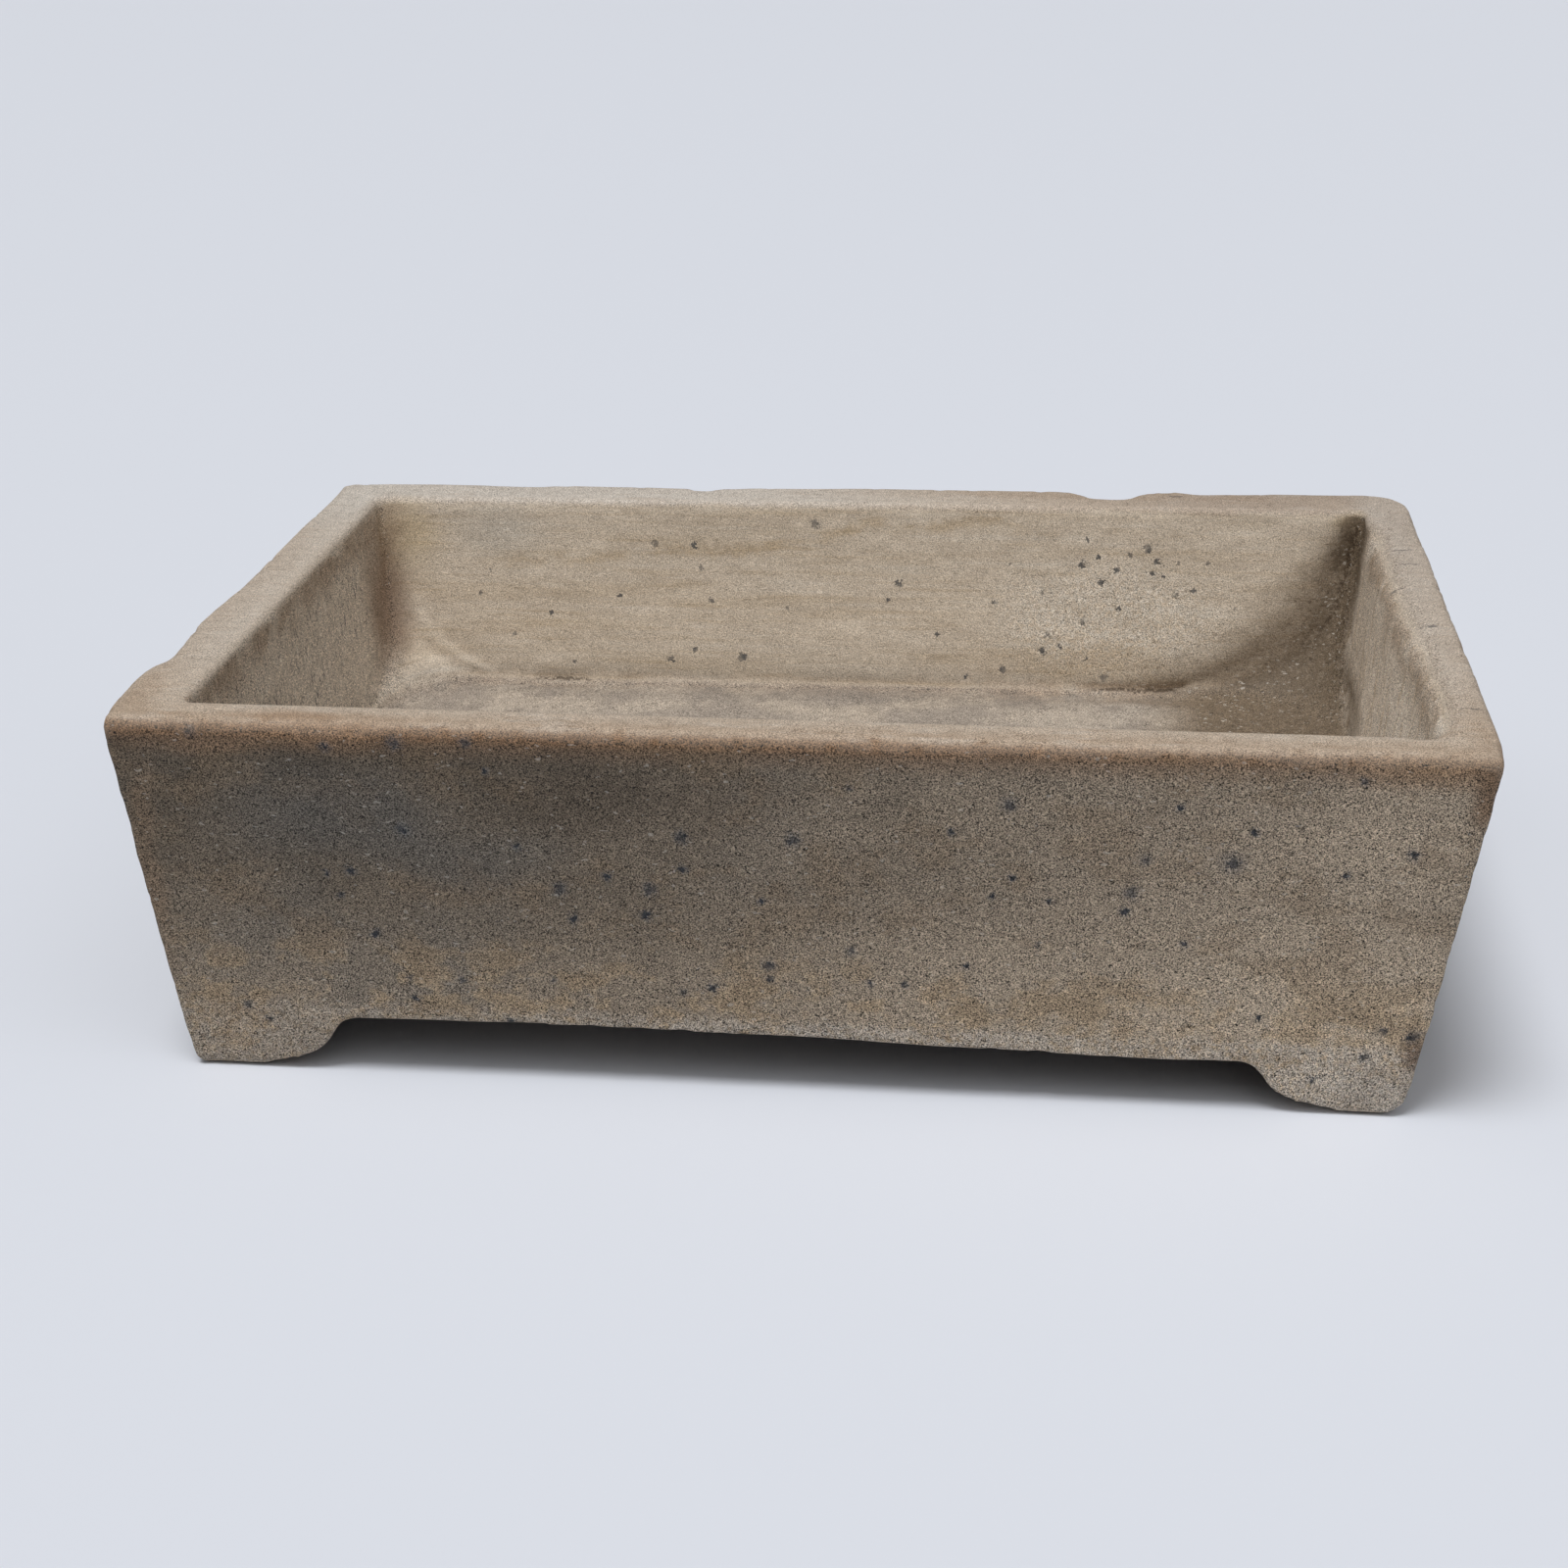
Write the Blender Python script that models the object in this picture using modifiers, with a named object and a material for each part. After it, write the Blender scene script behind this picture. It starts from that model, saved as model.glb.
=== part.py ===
"""Narcissus bowl: one oblong basin carved from a single block of stone.

The walls lean in towards the base, the hollow has sharp corners at the rim that
open into wide coves at the floor, and four bracket feet are left standing between
the arches of the apron. Metres, +Z up, origin on the ground under the middle.
"""
import math

import bmesh
import bpy
from mathutils import Matrix, Vector

# Block, outside. The right end of the rim is a little deeper than the left, and
# the base stands a little to the left of the rim.
rim_length = 0.440
rim_width_right = 0.294
rim_width_left = 0.286
base_length = 0.407
base_width = 0.268
base_shift = 0.0014
height = 0.131
front_corner_radius = 0.0045
back_left_corner_radius = 0.007
back_right_corner_radius = 0.014
corner_segments = 6
worn_edge = 0.0038
worn_edge_limit_share = 0.9
worn_edge_angle_degrees = 50
worn_edge_segments = 4

# Hollow, inside
front_wall = 0.0185
end_wall = 0.0205
back_wall = 0.0225
basin_depth = 0.0755
end_batter = 0.0055
front_batter = 0.0090
back_batter = 0.0090
inner_corner_radius = 0.0045
cove_corner_radius = 0.050
cove_rise = 0.046
cove_power = 2.3
floor_fillet = 0.0032
inner_lip = 0.0026
ring_corner_steps = 9
fillet_rings = 4
cove_rings = 9
upper_rings = 3
lip_rings = 4

# Crease where the back wall falls back to meet the right-hand cove: its depth, its
# width along the wall at the floor, and how far up it starts to run out. The table
# gives places across the width and how much of the depth is left there.
crease_depth = 0.0048
crease_width = 0.036
crease_top_width_share = 0.35
crease_fade_share = 0.62
crease_shares = ((0.12, 0.77), (0.27, 0.53), (0.45, 0.30), (0.65, 0.12), (0.85, 0.02))
crease_corner_power = 3

# Bracket feet and the arches of the apron between them. The toe's outline starts
# a little below the ground, so it leaves the foot's flat on a slope.
foot_length = 0.0535
arch_height = 0.0200
arch_lean = 0.0014
end_foot_length = 0.0515
end_arch_height = 0.0185
toe_shares = ((0.30, -0.03), (0.56, 0.14), (0.75, 0.30), (0.85, 0.49), (0.93, 0.79), (1.00, 0.95))
crown_share = 1.12
crown_handle_share = 0.05
arch_resolution = 4

# Chips worn from the top of the back edge: place along the rim from the left,
# length along the edge, depth from the edge and radius of the hollow across it
chip_tilt_degrees = 60
small_chip_share = 0.345
small_chip_length = 0.017
small_chip_depth = 0.0030
small_chip_radius = 0.0080
large_chip_share = 0.728
large_chip_length = 0.042
large_chip_depth = 0.0054
large_chip_radius = 0.0138
chip_segments = 24
chip_rings = 16

# Long shallow dips worn into the left rim, placed from the front in the same way
dip_tilt_degrees = 12
front_dip_share = 0.255
front_dip_length = 0.050
front_dip_depth = 0.0020
front_dip_radius = 0.130
middle_dip_share = 0.56
middle_dip_length = 0.078
middle_dip_depth = 0.0015
middle_dip_radius = 0.130
back_dip_share = 0.93
back_dip_length = 0.060
back_dip_depth = 0.0017
back_dip_radius = 0.130
dip_segments = 96
dip_rings = 72

# Cuts run this far past the faces that they leave, and caps weld within this
overrun = 0.010
weld_distance = 0.00001

# Finish
stone_colour = (0.355, 0.285, 0.215, 1.0)
stone_roughness = 0.62
stone_metallic = 0.0

# Worked out from the sizes above
front_y = -rim_width_right / 2
back_right_y = rim_width_right / 2
back_left_y = front_y + rim_width_left
floor_level = height - basin_depth


def clear_scene():
    """Remove every object of the open scene."""
    for item in list(bpy.data.objects):
        bpy.data.objects.remove(item, do_unlink=True)


def new_collection(name):
    """Make a collection under the scene's own."""
    group = bpy.data.collections.new(name)
    bpy.context.scene.collection.children.link(group)
    return group


def stone_material():
    """Bare stone, warm beige."""
    material = bpy.data.materials.new("stone")
    material.use_nodes = True
    shader = material.node_tree.nodes["Principled BSDF"]
    shader.inputs["Base Color"].default_value = stone_colour
    shader.inputs["Roughness"].default_value = stone_roughness
    shader.inputs["Metallic"].default_value = stone_metallic
    material.diffuse_color = stone_colour
    return material


def add_mesh_object(name, shape, group):
    """Turn a bmesh into an object of a collection."""
    mesh = bpy.data.meshes.new(name)
    bmesh.ops.recalc_face_normals(shape, faces=shape.faces)
    shape.to_mesh(mesh)
    shape.free()
    item = bpy.data.objects.new(name, mesh)
    group.objects.link(item)
    return item


def mark_as_cutter(item):
    """Keep a cutting shape out of the part itself."""
    item.hide_render = True
    item.display_type = "WIRE"


def cut(item, cutter):
    """Subtract a cutter with an exact Boolean."""
    modifier = item.modifiers.new(cutter.name, "BOOLEAN")
    modifier.operation = "DIFFERENCE"
    modifier.solver = "EXACT"
    modifier.object = cutter


def rim_corners():
    """Outer corners of the rim, from front left, counter-clockwise seen from above."""
    half = rim_length / 2
    return [Vector((-half, front_y)), Vector((half, front_y)),
            Vector((half, back_right_y)), Vector((-half, back_left_y))]


def base_corners():
    """Outer corners of the base, in the order of the rim's."""
    left = -base_length / 2 - base_shift
    right = base_length / 2 - base_shift
    half_width = base_width / 2
    return [Vector((left, -half_width)), Vector((right, -half_width)),
            Vector((right, half_width)), Vector((left, half_width))]


def build_block(group):
    """Tapered block with its own radius at each upright corner and worn edges."""
    shape = bmesh.new()
    bmesh.ops.create_cube(shape, size=1.0)
    radii = [front_corner_radius, front_corner_radius,
             back_right_corner_radius, back_left_corner_radius]
    widest = max(radii)
    weights = shape.edges.layers.float.new("bevel_weight_edge")
    corner_of = {(False, False): 0, (True, False): 1, (True, True): 2, (False, True): 3}
    for edge in shape.edges:
        low, high = edge.verts
        if low.co.z != high.co.z:
            corner = corner_of[(low.co.x > 0, low.co.y > 0)]
            edge[weights] = radii[corner] / widest
    for vertex in shape.verts:
        corner = corner_of[(vertex.co.x > 0, vertex.co.y > 0)]
        if vertex.co.z > 0:
            vertex.co = rim_corners()[corner].to_3d() + Vector((0, 0, height))
        else:
            vertex.co = base_corners()[corner].to_3d()
    block = add_mesh_object("stone_bowl", shape, group)

    corners = block.modifiers.new("upright_corners", "BEVEL")
    corners.limit_method = "WEIGHT"
    corners.width = widest
    corners.segments = corner_segments
    edges = block.modifiers.new("worn_edges", "BEVEL")
    edges.limit_method = "ANGLE"
    edges.angle_limit = math.radians(worn_edge_angle_degrees)
    edges.width = min(worn_edge, worn_edge_limit_share * min(radii))
    edges.segments = worn_edge_segments
    return block


def basin_outline(level, outset):
    """Corners of the hollow at a level above its floor, pushed out by outset."""
    share = min(level / basin_depth, 1)
    end_lean = end_batter * (1 - share) - outset
    front_lean = front_batter * (1 - share) - outset
    back_lean = back_batter * (1 - share) - outset
    front_left, front_right, back_right, back_left = rim_corners()
    right_x = front_right.x - end_wall - end_lean
    left_x = front_left.x + end_wall + end_lean
    near_y = front_left.y + front_wall + front_lean
    slope = (back_right.y - back_left.y) / (back_right.x - back_left.x)
    far_left_y = back_left.y + slope * (left_x - back_left.x) - back_wall - back_lean
    far_right_y = back_right.y + slope * (right_x - back_right.x) - back_wall - back_lean
    return [Vector((left_x, near_y)), Vector((right_x, near_y)),
            Vector((right_x, far_right_y)), Vector((left_x, far_left_y))]


def rounded_corner(corner, before, after, radius):
    """Points of an arc that rounds a corner between two straight sides."""
    to_before = (before - corner).normalized()
    to_after = (after - corner).normalized()
    half_angle = to_before.angle(to_after) / 2
    reach = radius / math.tan(half_angle)
    centre = corner + (to_before + to_after).normalized() * radius / math.sin(half_angle)
    start = corner + to_before * reach - centre
    sweep = math.pi - 2 * half_angle
    points = []
    for step in range(ring_corner_steps + 1):
        turn = Matrix.Rotation(sweep * step / ring_corner_steps, 2)
        points.append(centre + turn @ start)
    return points


def corner_radius_at(level):
    """Radius of the hollow's upright corners: small at the rim, a wide cove at the floor."""
    rise = max(0, 1 - level / cove_rise)
    return inner_corner_radius + (cove_corner_radius - inner_corner_radius) * rise ** cove_power


def crease_depth_at(level):
    """Depth of the back wall's crease: full up to its fade, none at the rim."""
    share = (level / basin_depth - crease_fade_share) / (1 - crease_fade_share)
    share = min(max(share, 0), 1)
    return crease_depth * (1 - share * share * (3 - 2 * share))


def creased_corner(points, after, level):
    """Back right corner: its arc falls back to the crease, and the wall comes forward again."""
    along = (after - points[-1]).normalized()
    outward = Vector((along.y, -along.x))
    depth = crease_depth_at(level)
    width = crease_width * (1 - (1 - crease_top_width_share) * min(level / basin_depth, 1))
    steps = len(points) - 1
    creased = []
    for step, point in enumerate(points):
        creased.append(point + outward * depth * (step / steps) ** crease_corner_power)
    for place_share, depth_share in crease_shares:
        creased.append(points[-1] + along * width * place_share + outward * depth * depth_share)
    return creased


def basin_ring(shape, level, outset):
    """One closed ring of the hollow's wall at a level above its floor."""
    outline = basin_outline(level, outset)
    radius = corner_radius_at(level)
    ring = []
    for index, corner in enumerate(outline):
        before = outline[index - 1]
        after = outline[(index + 1) % len(outline)]
        points = rounded_corner(corner, before, after, radius)
        if index == 2:
            points = creased_corner(points, after, level)
        for point in points:
            ring.append(shape.verts.new((point.x, point.y, floor_level + level)))
    return ring


def basin_levels():
    """Levels above the floor, each with how far the wall stands out there."""
    levels = []
    for step in range(fillet_rings + 1):
        angle = math.pi / 2 * step / fillet_rings
        levels.append((floor_fillet * (1 - math.cos(angle)), floor_fillet * (math.sin(angle) - 1)))
    for step in range(1, cove_rings + 1):
        levels.append((floor_fillet + (cove_rise - floor_fillet) * step / cove_rings, 0))
    wall_top = basin_depth - inner_lip
    for step in range(1, upper_rings + 1):
        levels.append((cove_rise + (wall_top - cove_rise) * step / (upper_rings + 1), 0))
    for step in range(lip_rings + 1):
        angle = math.pi / 2 * step / lip_rings
        rise = wall_top + inner_lip * math.sin(angle)
        levels.append((rise, inner_lip * (1 - math.cos(angle))))
    levels.append((basin_depth + overrun, inner_lip))
    return levels


def build_basin_cutter(group):
    """The hollow as a loft of rings from the floor up past the rim."""
    shape = bmesh.new()
    rings = [basin_ring(shape, level, outset) for level, outset in basin_levels()]
    count = len(rings[0])
    shape.faces.new(list(reversed(rings[0])))
    for lower, upper in zip(rings, rings[1:]):
        for index in range(count):
            following = (index + 1) % count
            shape.faces.new((lower[index], lower[following], upper[following], upper[index]))
    shape.faces.new(rings[-1])
    cutter = add_mesh_object("basin_cutter", shape, group)
    mark_as_cutter(cutter)
    return cutter


def toe_points(half_length, foot, rise):
    """Outline of a right-hand toe, from under the ground up to the crown of the gap."""
    first_share, _ = toe_shares[0]
    points = [(half_length - first_share * foot, -overrun)]
    points += [(half_length - share * foot, rise_share * rise) for share, rise_share in toe_shares]
    points.append((half_length - crown_share * foot, rise))
    return points


def arch_points(half_length, foot, rise, lean):
    """Outline of the gap between two feet, whose crown is higher at the left by twice the lean."""
    right = toe_points(half_length, foot, rise - lean)
    left = [(-x, z) for x, z in reversed(toe_points(half_length, foot, rise + lean))]
    return right + left


def build_arch_cutter(name, half_length, foot, rise, lean, half_depth, placing, group):
    """The gap's outline as a filled curve, run through the block and made a mesh."""
    points = arch_points(half_length, foot, rise, lean)
    curve = bpy.data.curves.new(name, "CURVE")
    curve.dimensions = "2D"
    curve.fill_mode = "BOTH"
    curve.extrude = half_depth
    curve.resolution_u = arch_resolution
    curve.render_resolution_u = 0
    spline = curve.splines.new("BEZIER")
    spline.bezier_points.add(len(points) - 1)
    spline.use_cyclic_u = True
    sharp = (0, 1, len(points) - 2, len(points) - 1)
    crowns = (len(points) // 2 - 1, len(points) // 2)
    crown_reach = crown_handle_share * foot
    for index, (x, z) in enumerate(points):
        knot = spline.bezier_points[index]
        knot.co = (x, z, 0)
        kind = "VECTOR" if index in sharp else "AUTO"
        if index in crowns:
            kind = "FREE"
            knot.handle_left = (x + crown_reach, z, 0)
            knot.handle_right = (x - crown_reach, z, 0)
        knot.handle_left_type = kind
        knot.handle_right_type = kind
    outline = bpy.data.objects.new(name + "_outline", curve)
    group.objects.link(outline)
    outline.matrix_world = placing
    bpy.context.view_layer.update()

    evaluated = outline.evaluated_get(bpy.context.evaluated_depsgraph_get())
    mesh = bpy.data.meshes.new_from_object(evaluated)
    shape = bmesh.new()
    shape.from_mesh(mesh)
    bmesh.ops.remove_doubles(shape, verts=shape.verts, dist=weld_distance)
    bmesh.ops.recalc_face_normals(shape, faces=shape.faces)
    shape.to_mesh(mesh)
    shape.free()
    cutter = bpy.data.objects.new(name, mesh)
    cutter.matrix_world = outline.matrix_world.copy()
    group.objects.link(cutter)
    bpy.data.objects.remove(outline, do_unlink=True)
    mark_as_cutter(cutter)
    return cutter


def build_scoop_cutter(name, edge, share, length, depth, radius, tilt_degrees, detail, group):
    """A long round scoop that stands off an edge of the rim, given by its two ends."""
    start, end = edge
    along = (end - start).normalized()
    outward = Vector((along.y, -along.x))
    if outward.dot(start) < 0:
        outward = -outward
    stand_off = radius - depth
    half_reach = length / 2 / math.sqrt(1 - (stand_off / radius) ** 2)
    tilt = math.radians(tilt_degrees)
    middle = start + (end - start) * share + outward * stand_off * math.cos(tilt)
    segments, rings = detail
    shape = bmesh.new()
    bmesh.ops.create_uvsphere(shape, u_segments=segments, v_segments=rings, radius=1.0)
    bmesh.ops.rotate(shape, matrix=Matrix.Rotation(math.pi / 2, 3, "Y"), verts=shape.verts)
    bmesh.ops.scale(shape, vec=(half_reach, radius, radius), verts=shape.verts)
    bmesh.ops.rotate(shape, matrix=Matrix.Rotation(math.atan2(along.y, along.x), 3, "Z"),
                     verts=shape.verts)
    bmesh.ops.translate(shape, vec=(middle.x, middle.y, height + stand_off * math.sin(tilt)),
                        verts=shape.verts)
    cutter = add_mesh_object(name, shape, group)
    mark_as_cutter(cutter)
    return cutter


def build_bowl():
    """Carve the bowl: block, hollow, arches, then the chips of the back edge."""
    part_group = new_collection("narcissus_bowl")
    cutter_group = new_collection("cutters")
    cutter_group.hide_render = True
    bowl = build_block(part_group)
    bowl.data.materials.append(stone_material())

    along_y = Matrix(((1, 0, 0, -base_shift), (0, 0, -1, 0), (0, 1, 0, 0), (0, 0, 0, 1)))
    along_x = Matrix(((0, 0, 1, 0), (1, 0, 0, 0), (0, 1, 0, 0), (0, 0, 0, 1)))
    cut(bowl, build_basin_cutter(cutter_group))
    cut(bowl, build_arch_cutter("front_arch_cutter", base_length / 2, foot_length, arch_height,
                                arch_lean, rim_width_right / 2 + overrun, along_y, cutter_group))
    cut(bowl, build_arch_cutter("end_arch_cutter", base_width / 2, end_foot_length, end_arch_height,
                                0, rim_length / 2 + overrun, along_x, cutter_group))

    front_left, _, back_right, back_left = rim_corners()
    back_edge = (back_left, back_right)
    left_edge = (front_left, back_left)
    chip_detail = (chip_segments, chip_rings)
    dip_detail = (dip_segments, dip_rings)
    cut(bowl, build_scoop_cutter("small_chip_cutter", back_edge, small_chip_share,
                                 small_chip_length, small_chip_depth, small_chip_radius,
                                 chip_tilt_degrees, chip_detail, cutter_group))
    cut(bowl, build_scoop_cutter("large_chip_cutter", back_edge, large_chip_share,
                                 large_chip_length, large_chip_depth, large_chip_radius,
                                 chip_tilt_degrees, chip_detail, cutter_group))
    cut(bowl, build_scoop_cutter("front_dip_cutter", left_edge, front_dip_share,
                                 front_dip_length, front_dip_depth, front_dip_radius,
                                 dip_tilt_degrees, dip_detail, cutter_group))
    cut(bowl, build_scoop_cutter("middle_dip_cutter", left_edge, middle_dip_share,
                                 middle_dip_length, middle_dip_depth, middle_dip_radius,
                                 dip_tilt_degrees, dip_detail, cutter_group))
    cut(bowl, build_scoop_cutter("back_dip_cutter", left_edge, back_dip_share,
                                 back_dip_length, back_dip_depth, back_dip_radius,
                                 dip_tilt_degrees, dip_detail, cutter_group))
    return bowl


clear_scene()
build_bowl()
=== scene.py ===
# Narcissus bowl: one block of fine sandy stone, hollowed, dressed by hand and worn.
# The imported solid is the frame. Here its skin is remeshed, weathered and painted.
import math

import bmesh
import bpy
import numpy as np
from mathutils import Matrix, Vector, noise


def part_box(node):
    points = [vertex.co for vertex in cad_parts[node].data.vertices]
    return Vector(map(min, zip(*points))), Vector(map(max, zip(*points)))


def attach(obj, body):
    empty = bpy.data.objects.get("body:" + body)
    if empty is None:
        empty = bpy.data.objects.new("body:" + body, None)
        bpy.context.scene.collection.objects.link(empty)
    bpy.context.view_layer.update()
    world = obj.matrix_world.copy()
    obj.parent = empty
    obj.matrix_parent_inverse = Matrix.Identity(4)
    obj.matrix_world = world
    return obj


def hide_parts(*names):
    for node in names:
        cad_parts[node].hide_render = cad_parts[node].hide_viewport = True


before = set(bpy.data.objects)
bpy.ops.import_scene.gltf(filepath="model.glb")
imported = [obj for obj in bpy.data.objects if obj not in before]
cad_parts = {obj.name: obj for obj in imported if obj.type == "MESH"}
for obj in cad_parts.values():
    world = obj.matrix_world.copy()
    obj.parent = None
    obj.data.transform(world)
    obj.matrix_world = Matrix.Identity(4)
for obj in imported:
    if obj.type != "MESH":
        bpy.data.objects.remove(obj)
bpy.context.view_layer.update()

lowCorner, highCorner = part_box("stone_bowl")
print("frame loaded, box", [round(v, 4) for v in lowCorner], [round(v, 4) for v in highCorner])


# Camera, at the photograph's angle
cameraView = {
    "place": (0.09475, -0.9076, 0.42088),
    "turn": 7.12,        # degrees to the left of straight ahead
    "down": 21.724,      # degrees below level
    "roll": -0.832,
    "sensor": 36,        # mm
    "lens": 60.4735,     # mm
}


def makeCamera():
    lens = bpy.data.cameras.new("photoCamera")
    lens.sensor_width = cameraView["sensor"]
    lens.lens = cameraView["lens"]
    camera = bpy.data.objects.new("photoCamera", lens)
    turn = Matrix.Rotation(math.radians(cameraView["turn"]), 3, "Z")
    tilt = Matrix.Rotation(math.radians(90 - cameraView["down"]), 3, "X")
    roll = Matrix.Rotation(math.radians(cameraView["roll"]), 3, "Z")
    camera.rotation_euler = (turn @ tilt @ roll).to_euler()
    camera.location = cameraView["place"]
    bpy.context.scene.collection.objects.link(camera)
    bpy.context.scene.camera = camera


makeCamera()
print("camera placed")


# Floor and light
studio = {
    "floorHalfWidth": 8.0,
    "floorSquares": 8,
    "floorColor": (0.76, 0.79, 0.86, 1),
    "floorRoughness": 0.75,
    "floorSpecular": 0.2,
    "skyColor": (1.0, 1.0, 1.0, 1),
    "skyStrength": 0.85,
    "skyLow": 0.35,      # sine of the height at which the sky starts to shine
    "skyHigh": 0.85,     # and of that where it is at full strength
    "skyFront": -0.35,   # Y of the directions before which it is at full strength
    "skyBack": 0.40,     # and of those behind which it is dimmed
    "skyDim": 0.12,      # share of its strength there
    "backColor": (0.70, 0.74, 0.80, 1),   # what a camera sees past the floor
    "lamps": {           # degrees round from the front, degrees up, degrees wide, strength, colour
        "keyBank": (-27, 74, 22, 1.85, (1.0, 1.0, 1.0)),
        "frontFill": (40, 38, 60, 0.26, (1.0, 0.99, 0.97)),
    },
}


def makeFloor():
    squares = studio["floorSquares"]
    grid = bmesh.new()
    bmesh.ops.create_grid(grid, x_segments=squares, y_segments=squares, size=studio["floorHalfWidth"])
    mesh = bpy.data.meshes.new("paleFloor")
    grid.to_mesh(mesh)
    grid.free()
    floor = bpy.data.objects.new("paleFloor", mesh)
    bpy.context.scene.collection.objects.link(floor)
    paper = bpy.data.materials.new("paleFloor")
    paper.use_nodes = True
    sockets = paper.node_tree.nodes["Principled BSDF"].inputs
    sockets["Base Color"].default_value = studio["floorColor"]
    sockets["Roughness"].default_value = studio["floorRoughness"]
    sockets["Specular IOR Level"].default_value = studio["floorSpecular"]
    mesh.materials.append(paper)


def makeSky():
    world = bpy.data.worlds.new("studio")
    bpy.context.scene.world = world
    world.use_nodes = True
    tree = world.node_tree
    split = tree.nodes.new("ShaderNodeSeparateXYZ")
    tree.links.new(tree.nodes.new("ShaderNodeTexCoord").outputs["Generated"], split.inputs[0])
    product = tree.nodes.new("ShaderNodeMath")    # bright overhead and in front, dark towards the horizon
    product.operation = "MULTIPLY"
    for slot, axis, low, high, least, most in (
        (0, "Z", studio["skyLow"], studio["skyHigh"], 0, studio["skyStrength"]),
        (1, "Y", studio["skyBack"], studio["skyFront"], studio["skyDim"], 1),
    ):
        ramp = tree.nodes.new("ShaderNodeMapRange")
        ramp.interpolation_type = "SMOOTHSTEP"
        ramp.inputs["From Min"].default_value = low
        ramp.inputs["From Max"].default_value = high
        ramp.inputs["To Min"].default_value = least
        ramp.inputs["To Max"].default_value = most
        tree.links.new(split.outputs[axis], ramp.inputs["Value"])
        tree.links.new(ramp.outputs["Result"], product.inputs[slot])
    sky = tree.nodes["Background"]
    sky.inputs["Color"].default_value = studio["skyColor"]
    tree.links.new(product.outputs[0], sky.inputs["Strength"])
    back = tree.nodes.new("ShaderNodeBackground")
    back.inputs["Color"].default_value = studio["backColor"]
    either = tree.nodes.new("ShaderNodeMixShader")
    tree.links.new(tree.nodes.new("ShaderNodeLightPath").outputs["Is Camera Ray"], either.inputs[0])
    tree.links.new(sky.outputs[0], either.inputs[1])
    tree.links.new(back.outputs[0], either.inputs[2])
    tree.links.new(either.outputs[0], tree.nodes["World Output"].inputs["Surface"])


def makeLamps():
    for name, (around, up, wide, power, color) in studio["lamps"].items():
        data = bpy.data.lights.new(name, "SUN")   # a sun lights the whole floor alike
        data.angle = math.radians(wide)
        data.energy = power
        data.color = color
        lamp = bpy.data.objects.new(name, data)
        lamp.rotation_euler = (math.radians(90 - up), 0, math.radians(around))
        bpy.context.scene.collection.objects.link(lamp)


makeFloor()
makeSky()
makeLamps()
bpy.context.scene.view_settings.view_transform = "Standard"
print("floor, sky and lamps placed")


# The block's skin: remeshed evenly, moved by listed curves and noise, then thinned.
# Lengths are in millimetres from here on, save in the mesh itself.
block = {
    "voxel": 1.6,
    "triangles": 190000,
    "height": 131,
    "floorLevel": 55.5,
    "apronLevel": 20,        # height of the arches
    "rimHalfLength": 220,
    "baseHalfLength": 203.5,
    "rimFront": -147,
    "rimBackLeft": 139,
    "rimBackRight": 147,
    "baseHalfWidth": 134,
    "endWall": 20.5,         # thickness at the rim
    "endLean": 5.5,          # how far the hollow draws in down to its floor
}

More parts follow.
